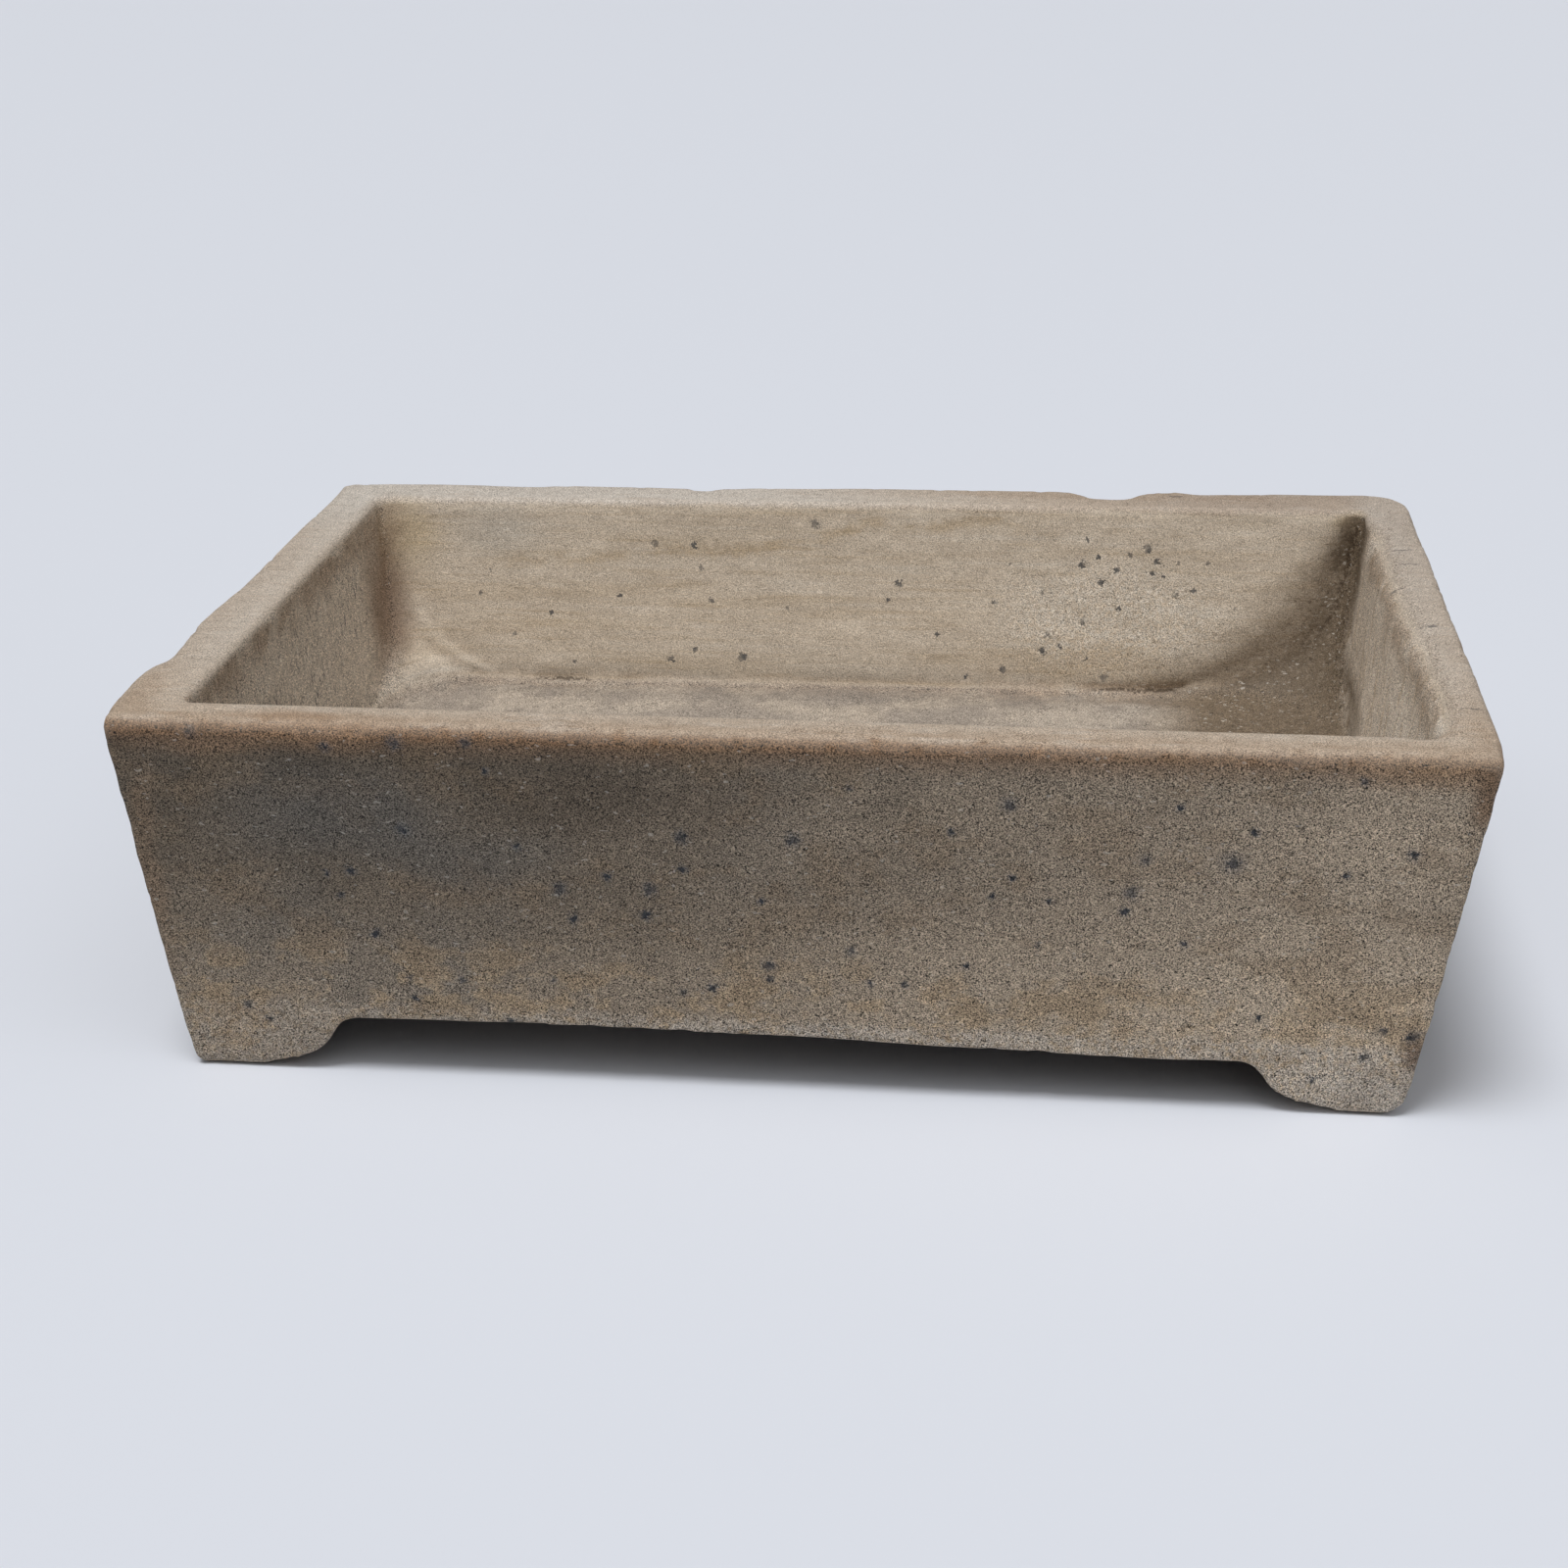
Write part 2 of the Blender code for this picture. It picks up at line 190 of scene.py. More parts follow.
wear = {
    # outer edge of the left rim: place along Y, then how far it moves towards -X
    "leftRim": ((-150, 1.5), (-136, 2.9), (-123, 3.5), (-110, 3.9), (-99, 3.5), (-88, -0.6), (-75, 0.1),
                (-62, 1.2), (-49, 1.7), (-35, 1.3), (-21, 0.6), (-7, -0.3), (40, 0), (71, 0.2),
                (105, -0.4), (138, 0.5)),
    # outer edge of the back rim: place along X, then how far it moves towards +Y
    "backRim": ((-222, 1.6), (-200, 1.2), (-180, 1.5), (-165, 1.2), (-140, -0.4), (-128, 2.0), (-98, 1.6),
                (-77, 0.3), (-67, -0.8), (-57, 0.4), (-45, 2.0), (0, 4.0), (40, 3.5), (64, 3.7),
                (84, 3.9), (94, -2.0), (104, -2.4), (114, 5.4), (124, 4.6), (136, 1.4), (150, 2.6),
                (165, 3.7), (190, 3.4), (203, 4.4), (216, 2.8)),
    # outer edge of the right rim: place along Y, then how far it moves towards +X
    "rightRim": ((-148, 0.4), (-125, 1.5), (-90, 1.0), (-40, 0.4), (0, 0), (60, -0.3), (100, -1.1),
                 (140, -1.0)),
    # inner edge of the right rim: place along Y, then how far it moves towards +X
    "rightLip": ((-130, 0), (-115, 3.2), (-95, 4.2), (-60, 3.4), (-19, 1.8), (5, 0.2), (40, 0), (120, 0)),
    # upright front edges: height, then how far the left one and the right one move towards -X
    "leftFront": ((0, 1.1), (8, 1.7), (20, 2.3), (60, 2.2), (80, 2.4), (100, 1.4), (112, 0.4), (131, -0.2)),
    "rightFront": ((0, 3.2), (20, 2.4), (40, 1.5), (70, 1.0), (95, 0.6), (131, 0.3)),
    # lower edge of the front apron: place along X, then how far it moves up
    "apron": ((-146, -0.6), (-119, 0), (-69, 1.3), (-3, 0.7), (62, -0.4), (119, -0.7), (141, -0.1)),
    "edgeReach": (17, 4),    # an edge's wave starts this far inside a face, and is whole this near to it
    "rimFade": 45,           # the rims' waves run out this far down the wall
    "apronFade": 30,         # and the apron's this far up
    "footRounding": 12,      # outer corner of the front right foot
    "edgeRounding": (3.8, 2.2),      # radius of the solid's left and back rim edges, and the worn one
    "cornerRounding": (4.5, 1.8),    # of its upright front corners, and the worn one
    "creaseReach": 46,       # how far from the corner the back wall's crease meets the floor
    "creaseEnd": 1.5,        # and how far from it the crease stays at the rim
    "creaseRise": 16.5,      # the height in which it comes nearer by a factor e
    "ridgeHeight": 1.2,      # low ridge where the back wall meets the left-hand cove
    "ridgeWidth": 4,
    "lipRounds": 34,         # smoothing rounds on the right inner edge of the rim
    "creaseRounds": 70,      # and on the lower part of the crease
    "smoothing": 0.9,        # share of the way that a round moves a point
    # cracks along the floor's back edge: place along X, half length, depth
    "cracks": ((-124, 15, 0.9), (-96, 7, 0.4), (104, 17, 0.8), (124, 10, 1.1)),
    # unevenness, coarse to fine: height, size, shift of the noise
    "swell": (0.34, 34, 3),
    "hump": (0.20, 11, 17),
    "pit": (0.13, 4.5, 40),
    "nick": (0.9, 8, 71),
    "nickLeast": 0.35,       # only bumps above this height bite into an edge
    "rimCalm": 0.55,         # share of the unevenness that the rim's top lacks
    "edgeCalm": 0.7,         # and that edges and corners lack
}


def evenSkin(source):
    # a closed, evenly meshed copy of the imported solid
    shape = bmesh.new()
    shape.from_mesh(source.data)
    bmesh.ops.remove_doubles(shape, verts=shape.verts, dist=1e-6)
    mesh = bpy.data.meshes.new("bowlSkin")
    shape.to_mesh(mesh)
    shape.free()
    piece = bpy.data.objects.new("carved_bowl", mesh)
    bpy.context.scene.collection.objects.link(piece)
    remesh = piece.modifiers.new("even", "REMESH")
    remesh.mode = "VOXEL"
    remesh.voxel_size = block["voxel"] / 1000
    return bakeModifiers(piece)


def bakeModifiers(piece):
    graph = bpy.context.evaluated_depsgraph_get()
    done = bpy.data.meshes.new_from_object(piece.evaluated_get(graph))
    piece.modifiers.clear()
    old = piece.data
    piece.data = done
    bpy.data.meshes.remove(old)
    return piece


def countTriangles(mesh):
    return sum(len(face.vertices) - 2 for face in mesh.polygons)


def thin(piece):
    before = countTriangles(piece.data)
    if before > block["triangles"]:
        fewer = piece.modifiers.new("fewer", "DECIMATE")
        fewer.ratio = block["triangles"] / before
        bakeModifiers(piece)
    print("triangles", before, "->", countTriangles(piece.data))


def readPoints(mesh):
    points = np.empty(len(mesh.vertices) * 3)
    mesh.vertices.foreach_get("co", points)
    return points.reshape(-1, 3) * 1000


def readNormals(mesh):
    normals = np.empty(len(mesh.vertices) * 3)
    mesh.vertices.foreach_get("normal", normals)
    return normals.reshape(-1, 3)


def readEdges(mesh):
    edges = np.empty(len(mesh.edges) * 2, dtype=np.int32)
    mesh.edges.foreach_get("vertices", edges)
    return edges.reshape(-1, 2)


def writePoints(mesh, points):
    mesh.vertices.foreach_set("co", (points / 1000).ravel())
    mesh.update()


def blend(low, high, value):
    # 0 up to low, 1 from high on, smooth between; the other way round if low is the greater
    share = np.clip((value - low) / (high - low), 0, 1)
    return share * share * (3 - 2 * share)


def curve(points, value):
    # smooth curve through given points
    places, heights = np.array(points, dtype=float).T
    left = np.clip(np.searchsorted(places, value) - 1, 0, len(places) - 2)
    share = blend(0, 1, (value - places[left]) / (places[left + 1] - places[left]))
    return heights[left] + (heights[left + 1] - heights[left]) * share


def bumps(points, height, size, shift):
    # noise between about -height and +height, of blobs about as wide as size
    gain = 1.6           # the plain noise seldom passes 1 / 1.6
    return height * np.array([noise.noise(Vector(p)) for p in points / size + shift]) * gain


def smooth(points, edges, rounds, share=None):
    # each round moves a point to the middle of its neighbours, or part of the way
    count = np.bincount(edges.ravel(), minlength=len(points))[:, None]
    share = np.ones(len(points)) if share is None else share
    for _ in range(rounds):
        total = np.zeros_like(points)
        for axis in range(3):
            total[:, axis] = (np.bincount(edges[:, 0], points[edges[:, 1], axis], len(points))
                              + np.bincount(edges[:, 1], points[edges[:, 0], axis], len(points)))
        points = points + (total / count - points) * share[:, None]
    return points


def standsOut(points, edges, normals, rounds):
    # how far each point stands out of its surroundings: over 0 on edges, under 0 in corners
    return ((points - smooth(points, edges, rounds)) * normals).sum(1)


def outerFaces(points):
    # how far each point lies inside the block's left, right, front and back faces
    x, y, z = points.T
    up = z / block["height"]
    halfLength = block["baseHalfLength"] + (block["rimHalfLength"] - block["baseHalfLength"]) * up
    along = x / (2 * block["rimHalfLength"]) + 0.5
    rimBack = block["rimBackLeft"] + (block["rimBackRight"] - block["rimBackLeft"]) * along
    front = -block["baseHalfWidth"] + (block["rimFront"] + block["baseHalfWidth"]) * up
    back = block["baseHalfWidth"] + (rimBack - block["baseHalfWidth"]) * up
    return x + halfLength, halfLength - x, y - front, back - y


def withinWall(back):
    # 0 on the outer back face, 1 on the hollow's side of the back wall
    return blend(8, 12, back)


def creaseDistance(points, side):
    # how far a point lies from the crease beside the back wall's end, towards the middle
    x, z = points[:, 0], points[:, 2]
    up = np.clip(z - block["floorLevel"], 0, None)
    depth = block["height"] - block["floorLevel"]
    innerEnd = block["rimHalfLength"] - block["endWall"] - block["endLean"] * (1 - up / depth)
    fromCorner = wear["creaseReach"] * np.exp(-up / wear["creaseRise"]) + wear["creaseEnd"]
    return innerEnd - fromCorner - side * x


def tighten(first, second, radii):
    # how far points of a rounded edge move out along its two faces to a tighter rounding
    radius, target = radii
    u, v = np.clip(radius - first, 0, None), np.clip(radius - second, 0, None)
    reach = np.maximum(np.hypot(u, v), 0.01)
    more, less = np.maximum(u, v) / reach, np.minimum(u, v) / reach
    inset = radius - target
    flat = radius / np.maximum(more, 0.01)
    arc = inset * (more + less) + np.sqrt(np.clip(target ** 2 - (inset * (more - less)) ** 2, 0, None))
    factor = np.where(flat * less <= inset, flat, arc) / radius - 1
    factor = factor * blend(0, 0.5, np.minimum(u, v))
    return u * factor, v * factor


def sharpenEdges(points):
    # crisper left and back edges of the rim, and upright front corners
    left, right, front, back = outerFaces(points)
    deep = block["height"] - points[:, 2]
    outX, outZ = tighten(left, deep, wear["edgeRounding"])
    points += np.stack([-outX, 0 * outX, outZ], 1) * blend(-140, -130, points[:, 1])[:, None]
    outY, outZ = tighten(back, deep, wear["edgeRounding"])
    points += np.stack([0 * outY, outY, outZ], 1) * blend(208, 200, np.abs(points[:, 0]))[:, None]
    for side, end in ((-1, left), (1, right)):
        outX, outY = tighten(end, front, wear["cornerRounding"])
        points += np.stack([side * outX, -outY, 0 * outX], 1)


def softenHollow(points, edges, right, back):
    # right inner edge of the rim: worn broad and round, and bowed out near the front
    nearLip = blend(30, 24, right) * blend(8, 16, right) * blend(100, 116, points[:, 2])
    nearLip *= blend(112, 96, points[:, 1]) * blend(-133, -126, points[:, 1])
    points = smooth(points, edges, wear["lipRounds"], wear["smoothing"] * nearLip)

    # crease at the back wall's right end: sharp near the top, worn soft lower down
    nearCrease = blend(24, 10, np.abs(creaseDistance(points, 1))) * blend(60, 80, points[:, 1])
    nearCrease *= withinWall(back) * blend(112, 88, points[:, 2]) * blend(54, 57, points[:, 2])
    points = smooth(points, edges, wear["creaseRounds"], wear["smoothing"] * nearCrease)
    inLip = blend(6, 17, right) * blend(30, 24, right) * blend(70, 122, points[:, 2])
    points[:, 0] += curve(wear["rightLip"], points[:, 1]) * inLip
    return points


def waveEdges(points, left, right, front, back):
    # the rims, the upright front corners and the apron, by the listed curves
    x, y, z = points.T
    down = block["height"] - z
    nearLeft, nearRight, nearBack = (blend(*wear["edgeReach"], inside) for inside in (left, right, back))
    points[:, 0] -= curve(wear["leftRim"], y) * nearLeft * blend(wear["rimFade"], 4, down)
    points[:, 0] += curve(wear["rightRim"], y) * nearRight * blend(wear["rimFade"], 4, down)
    points[:, 1] += curve(wear["backRim"], x) * nearBack * blend(wear["rimFade"], 2, down)
    points[:, 0] -= curve(wear["leftFront"], z) * nearLeft * blend(-50, -110, y)
    points[:, 0] -= curve(wear["rightFront"], z) * nearRight * blend(-50, -110, y)
    underApron = blend(157, 147, np.abs(x)) * blend(wear["apronFade"], 2, z - block["apronLevel"])
    underApron = underApron * blend(10, 12, z)
    points[:, 2] += curve(wear["apron"], x) * underApron * blend(60, 20, front)


def roundFoot(points, right):
    # outer corner of the front right foot
    y, z = points[:, 1], points[:, 2]
    radius = wear["footRounding"]
    inX, inZ = radius - right, radius - z
    reach = np.hypot(np.clip(inX, 0, None), np.clip(inZ, 0, None))
    pull = np.clip(reach - radius, 0, None) * (inX > 0) * (inZ > 0) * blend(-60, -90, y)
    points[:, 0] -= pull * inX / np.maximum(reach, 1)
    points[:, 2] += pull * inZ / np.maximum(reach, 1)


def cutFloorEdge(points, normals, back):
    # low ridge at the back wall's left end, cracks along the floor's back edge
    x, y, z = points.T
    level = z - block["floorLevel"]
    wall = blend(-0.15, -0.55, normals[:, 1]) * blend(60, 75, y) * withinWall(back) * blend(1, 7, level)
    ridge = np.exp(-(creaseDistance(points, -1) / wear["ridgeWidth"]) ** 2) * blend(45, 30, level)
    points[:, 1] -= wear["ridgeHeight"] * ridge * wall
    atFoot = blend(4.5, 0.5, np.abs(level - 0.8)) * blend(100, 106, y) * withinWall(back)
    for place, half, depth in wear["cracks"]:
        points -= normals * (depth * blend(half, half * 0.5, np.abs(x - place)) * atFoot)[:, None]


def roughen(points, edges, normals):
    # noise, less on the rim's top and on edges, none where the feet stand
    rimTop = blend(0.6, 0.9, normals[:, 2]) * blend(120, 126, points[:, 2])
    rough = sum(bumps(points, *wear[name]) for name in ("swell", "hump", "pit"))
    sharpness = standsOut(points, edges, normals, rounds=8)
    outer = blend(9, 5, np.min(outerFaces(points), axis=0))
    nicks = np.clip(bumps(points, *wear["nick"]) - wear["nickLeast"], 0, None)
    nicks = nicks * blend(0.2, 0.7, sharpness) * outer
    rough = rough * (1 - wear["rimCalm"] * rimTop)
    rough = rough * (1 - wear["edgeCalm"] * blend(0.2, 0.6, np.abs(sharpness))) - nicks
    points += normals * (rough * blend(0.5, 4, points[:, 2]))[:, None]
    points[:, 2] = np.clip(points[:, 2], 0, block["height"])


def weather(piece):
    mesh = piece.data
    points, edges = readPoints(mesh), readEdges(mesh)
    sharpenEdges(points)
    left, right, front, back = outerFaces(points)
    points = softenHollow(points, edges, right, back)
    writePoints(mesh, points)
    normals = readNormals(mesh)
    waveEdges(points, left, right, front, back)
    roundFoot(points, right)
    cutFloorEdge(points, normals, back)
    writePoints(mesh, points)
    roughen(points, edges, readNormals(mesh))
    writePoints(mesh, points)


def storeMarks(piece):
    # what the paint needs to know of the form: one number a point
    mesh = piece.data
    points, edges, normals = readPoints(mesh), readEdges(mesh), readNormals(mesh)
    shaped = standsOut(points, edges, normals, rounds=6)
    marks = {
        "inward": np.min(outerFaces(points), axis=0),
        "ridge": np.clip(shaped, 0, 1),
        "furrow": np.clip(-shaped, 0, 1),
        "crease": creaseDistance(points, 1),
        "facingUp": normals[:, 2],
        "facingEnd": np.abs(normals[:, 0]),
    }
    for name, values in marks.items():
        layer = mesh.attributes.new(name, "FLOAT", "POINT")
        layer.data.foreach_set("value", values.astype(np.float32))
    return tuple(marks)


bowl = evenSkin(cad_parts["stone_bowl"])
weather(bowl)
thin(bowl)
markNames = storeMarks(bowl)
bowl.data.shade_smooth()
print("skin weathered")


# A wire is an output socket of a shader node. Sums on wires add Math nodes.
class Wire:
    tree = None

    def __init__(self, socket):
        self.socket = socket

    @classmethod
    def node(cls, kind, settings, sockets, output=0):
        new = cls.tree.nodes.new("ShaderNode" + kind)
        for name, value in settings.items():
            if name == "points":
                line = new.mapping.curves[0]
                for place, height in value[1:-1]:
                    line.points.new(place, height)
                line.points[0].location = value[0]
                line.points[-1].location = value[-1]
                new.mapping.update()
            else:
                setattr(new, name, value)
        for name, value in sockets.items():
            if isinstance(value, cls):
                cls.tree.links.new(value.socket, new.inputs[name])
            else:
                new.inputs[name].default_value = value
        return cls(new.outputs[output])

    def sister(self, output):
        return Wire(self.socket.node.outputs[output])

    def math(self, operation, *others):
        return Wire.node("Math", {"operation": operation}, dict(enumerate((self,) + others)))

    def atMost(self, other):
        return self.math("MINIMUM", other)

    def atLeast(self, other):
        return self.math("MAXIMUM", other)

    def __abs__(self):
        return self.math("ABSOLUTE")

    def __add__(self, other):
        return self.math("ADD", other)

    def __sub__(self, other):
        return self.math("SUBTRACT", other)

    def __mul__(self, other):
        return self.math("MULTIPLY", other)

    def __truediv__(self, other):
        return self.math("DIVIDE", other)

    def __rsub__(self, other):
        return Wire.node("Math", {"operation": "SUBTRACT"}, {0: other, 1: self})

    __radd__ = __add__
    __rmul__ = __mul__


def fade(wire, low, high):
    # 0 up to low, 1 from high on; the other way round if low is the greater
    return Wire.node("MapRange", {"interpolation_type": "SMOOTHSTEP"},
                     {"Value": wire, "From Min": low, "From Max": high})


def mix(first, second, share):
    # 6, 7 and 2 are the node's sockets for colours, which share their names with others
    return Wire.node("Mix", {"data_type": "RGBA"}, {0: share, 6: first, 7: second}, 2)


def scale(color, factor):
    return Wire.node("VectorMath", {"operation": "SCALE"}, {0: color, "Scale": factor})


def stretch(where, across, deep, high):
    # the place in shares of the three lengths
    shares = (1 / across, 1 / deep, 1 / high)
    return Wire.node("VectorMath", {"operation": "MULTIPLY"}, {0: where, 1: shares})


def cloud(where, size, detail, roughness, shift=0):
    # noise about 0.5, in blobs about as wide as size
    moved = Wire.node("VectorMath", {"operation": "MULTIPLY_ADD"},
                      {0: where, 1: (1 / size,) * 3, 2: (shift,) * 3})
    return Wire.node("TexNoise", {},
                     {"Vector": moved, "Scale": 1.0, "Detail": detail, "Roughness": roughness})


def warp(where, size, reach):
    # the same place, moved at random by up to about reach
    push = Wire.node("TexNoise", {}, {"Vector": where, "Scale": 1 / size, "Detail": 1.0}, "Color")
    push = Wire.node("VectorMath", {"operation": "SUBTRACT"}, {0: push, 1: (0.5, 0.5, 0.5)})
    return Wire.node("VectorMath", {"operation": "MULTIPLY_ADD"}, {0: push, 1: (2 * reach,) * 3, 2: where})


def crystals(where, size):
    # a random number for each crystal, 0 to 1
    cells = Wire.node("TexVoronoi", {}, {"Vector": where, "Scale": 1 / size}, "Color")
    return Wire.node("SeparateColor", {}, {0: cells})


def nearness(where, center, radii):
    # distance from a place, in shares of its radii
    shares = tuple(1 / r for r in radii)
    shift = tuple(-c / r for c, r in zip(center, radii))
    moved = Wire.node("VectorMath", {"operation": "MULTIPLY_ADD"}, {0: where, 1: shares, 2: shift})
    return Wire.node("VectorMath", {"operation": "LENGTH"}, {0: moved}, "Value")


def mark(name):
    return Wire.node("Attribute", {"attribute_name": name}, {}, "Fac")


# Colours of the stone, clean and soiled, some of them painted light and shade
paint = {
    "soiledAndShaded": (0.104, 0.082, 0.059, 1),        # outside, at its darkest: partly soil, partly painted shade
    "weathered": (0.460, 0.372, 0.276, 1),     # outside, at its palest: partly weathering, partly painted light
    "brownBand": (0.190, 0.110, 0.060, 1),
    "brownEdge": (0.250, 0.135, 0.065, 1),     # just under the rim's front edge
    "earth": (0.200, 0.140, 0.085, 1),         # brown patches on the front
    "tan": (0.430, 0.310, 0.180, 1),           # ochre patches low on the front
    "coolGrey": (0.120, 0.117, 0.108, 1),
    "lime": (0.480, 0.430, 0.370, 1),          # crust along the apron's lower edge and on the feet
    # undersides of the arches and insides of the feet: partly dust, partly painted shade
    "under": (0.130, 0.105, 0.082, 1),
    "rim": (0.450, 0.345, 0.255, 1),
    "rimPale": (0.570, 0.480, 0.390, 1),
    "rimGrey": (0.620, 0.570, 0.510, 1),       # back rim, left
    "rimDull": (0.400, 0.320, 0.255, 1),       # back rim, right
    "hollow": (0.725, 0.625, 0.508, 1),
    # pale stone of the hollow's end walls, lightened further as painted light
    "endWall": (0.880, 0.785, 0.675, 1),
    "basinFloor": (0.330, 0.283, 0.238, 1),
    "white": (0.820, 0.770, 0.690, 1),
    "ochre": (0.480, 0.350, 0.200, 1),
    "rust": (0.320, 0.210, 0.125, 1),
    "sootAndShade": (0.245, 0.185, 0.126, 1),          # back right corner of the hollow: soot and painted shade
    "spot": (0.022, 0.027, 0.035, 1),
    "halo": (0.085, 0.092, 0.102, 1),
    "innerSpot": (0.095, 0.096, 0.099, 1),
    "crack": (0.060, 0.038, 0.022, 1),
}

# How strongly some of them show
strength = {
    "coolGrey": 0.30,
    "brownBand": 0.62,
    "brownEdge": 0.62,
    "tan": 0.42,
    "earth": 0.35,
    "lime": 0.32,
    "limeRight": 0.28,       # added towards the right
    "rimPale": 0.75,         # along the rim's inner edge
    "rimGrey": 0.85,
    "rimDull": 0.85,
    "rimEnds": 0.40,         # grey on the end rims
    "rimRust": 0.20,
    "rimStreaks": 0.24,
    "wornEdge": 0.20,
    "bedding": 0.30,
    "layers": 0.20,
    "paleBedding": 0.25,
    "whitish": 0.55,
    "endWall": 0.75,
    "leftDarker": 0.18,      # the left end wall, darkened again as painted shade
    "darkFlecks": 0.75,      # on the end walls
    "fewerRight": 0.45,      # taken away on the right one
    "whiteFlecks": 0.70,
    "endStreaks": 0.45,
    "lipRust": 0.55,         # under the worn lips of the end walls
    "furrowRust": 0.15,
    "vein": 0.44,
    "halo": 0.34,
    "spot": 0.92,
    "innerSpot": 0.90,
    "dash": 0.65,            # marks on the rim
    "crack": 0.75,
    "sparkle": 0.40,
}

# How pale the outside is, from 0, darkest, to 1; the paling to the right is partly painted light
paleness = {
    "least": 0.12,
    "rightwards": 0.60,      # added towards the front's right end, partly painted light
    "otherSides": 0.34,      # added on the ends and the back
    "lowDown": 0.34,
    "underRim": 0.08,        # taken away there
    "broad": 0.30,           # share of the noises
    "wide": 0.26,
}

# Noises of the paint: size in mm, detail, roughness, shift
clouds = {
    "fine": (0.45, 1, 0.6, 0),
    "pits": (1.8, 2, 0.6, 3),
    "medium": (4.5, 3, 0.6, 7),
    "patches": (15, 3, 0.6, 51),     # wider than high
    "broad": (26, 3, 0.55, 11),
    "wide": (70, 2, 0.5, 23),
}

# Grain, relief and gloss
surface = {
    "crystal": 0.38,         # mm
    "speck": 0.75,
    "crystalContrast": 0.55,
    "fineContrast": 3.0,
    "fineRelief": 0.18,
    "fineReliefOutside": 0.26,       # added there
    "pitRelief": 0.08,
    "pitReliefOutside": 0.04,
    "mediumRelief": 0.30,
    "bumpHeight": 0.001,     # metres, for a relief of 1
    "roughness": 0.60,
    "rougherOutside": 0.16,
    "unevenGloss": 0.16,
    "specular": 0.3,
}

# Grain, mottling and sparkle: how strong on the rim, and how much more or less so in each zone
grainAmount = {"rim": 0.94, "outside": 0.64, "hollow": -0.38, "whitish": 0.36, "ends": 0.85, "floor": 0.60}
mottling = {"rim": 0.24, "outside": -0.06, "ends": 0.30, "floor": 0.50}
sparkling = {"rim": 0.2, "outside": 0.4, "ends": 1.0, "whitish": 1.2}

# Stains, and two darkenings in the hollow's corners that are painted shade, one of them partly soil:
# middle, radii, colour, share
stainsAndShade = (
    ((-146, -143, 98), (52, 30, 24), (0.090, 0.092, 0.090, 1), 0.50),
    ((-104, -143, 84), (36, 30, 14), (0.112, 0.112, 0.108, 1), 0.30),
    ((-70, -145, 106), (44, 20, 16), (0.090, 0.068, 0.048, 1), 0.50),
    ((-20, -145, 108), (26, 20, 14), (0.125, 0.095, 0.068, 1), 0.30),
    ((-150, -144, 129), (38, 9, 8), (0.330, 0.205, 0.120, 1), 0.60),
    ((-186, -148, 123), (24, 9, 5), (0.220, 0.140, 0.085, 1), 0.50),
    ((196, -147, 123), (26, 9, 7), (0.280, 0.180, 0.105, 1), 0.55),
    ((215, -146, 116), (7, 10, 15), (0.150, 0.085, 0.045, 1), 0.75),
    ((200, -137, 27), (6, 10, 10), (0.130, 0.075, 0.042, 1), 0.75),
    ((-211, -140, 80), (6, 14, 60), (0.240, 0.160, 0.100, 1), 0.40),
    ((-188, 112, 116), (20, 14, 18), (0.560, 0.430, 0.240, 1), 0.50),
    ((-150, 117, 118), (24, 14, 14), (0.560, 0.530, 0.480, 1), 0.40),
    ((196, 124, 124), (12, 10, 6), (0.420, 0.300, 0.140, 1), 0.55),
    # dark brown band on the left end wall beside the back corner: painted shade
    ((-196, 104, 90), (11, 34, 54), (0.250, 0.165, 0.110, 1), 0.80),
    # dark band along the floor's back edge on the right: partly soil, partly painted shade
    ((150, 106, 56), (62, 9, 7), (0.230, 0.180, 0.130, 1), 0.55),
    ((92, 114, 66), (60, 14, 9), (0.430, 0.315, 0.190, 1), 0.40),
    ((190, -136, 9), (26, 10, 12), (0.450, 0.415, 0.370, 1), 0.42),
)
whitishPatch = ((102, 118, 84), (58, 30, 32))     # on the back wall: middle, radii

# Corner of the hollow beside the crease at the back wall's right end, darkened: partly soil, partly painted
# shade
cornerSoilAndShade = {
    "reach": 78.0,           # how far it spreads from the crease, low down
    "top": 136,              # the height towards which it narrows
    "ragged": 16,            # how far its edge wavers
    "sparedShare": 0.9,          # share of it that the part beyond the crease is spared
    "darker": 0.27,          # in the cove, more painted shade
    "cleft": 0.70,           # dark openings along the crease
    "darkCrystals": 0.45,
    "whiteCrystals": 0.16,
    "whiteInCrease": 0.20,   # added there
}

# Dark mineral spots, by radius: place along X and height
frontSpots = {
    1.2: ((-96, 116), (-88, 89), (-148, 69), (-152, 77), (-34, 83), (-9, 72), (20, 114), (52, 100),
          (71, 84), (65, 77), (83, 76), (-36, 37), (26, 43), (37, 43), (57, 51), (80, 60), (-128, 38),
          (-110, 38), (-79, 39), (-178, 20), (126, 62), (146, 103), (123, 111), (178, 122), (175, 89),
          (169, 13), (151, 36)),
    1.6: ((-192, 127), (-148, 123), (-102, 126), (-144, 78), (-138, 54), (-71, 63), (-59, 79), (-47, 65),
          (20, 55), (-7, 43), (-26, 39), (-126, 30), (-95, 23), (-185, 25), (113, 92), (107, 73), (195, 97),
          (185, 23), (190, 33)),
    2.2: ((-125, 125), (-125, 94), (-75, 74), (-45, 75), (-34, 94), (2, 95), (70, 110), (-7, 48), (109, 80),
          (200, 31)),
    3.0: ((140, 92),),
}
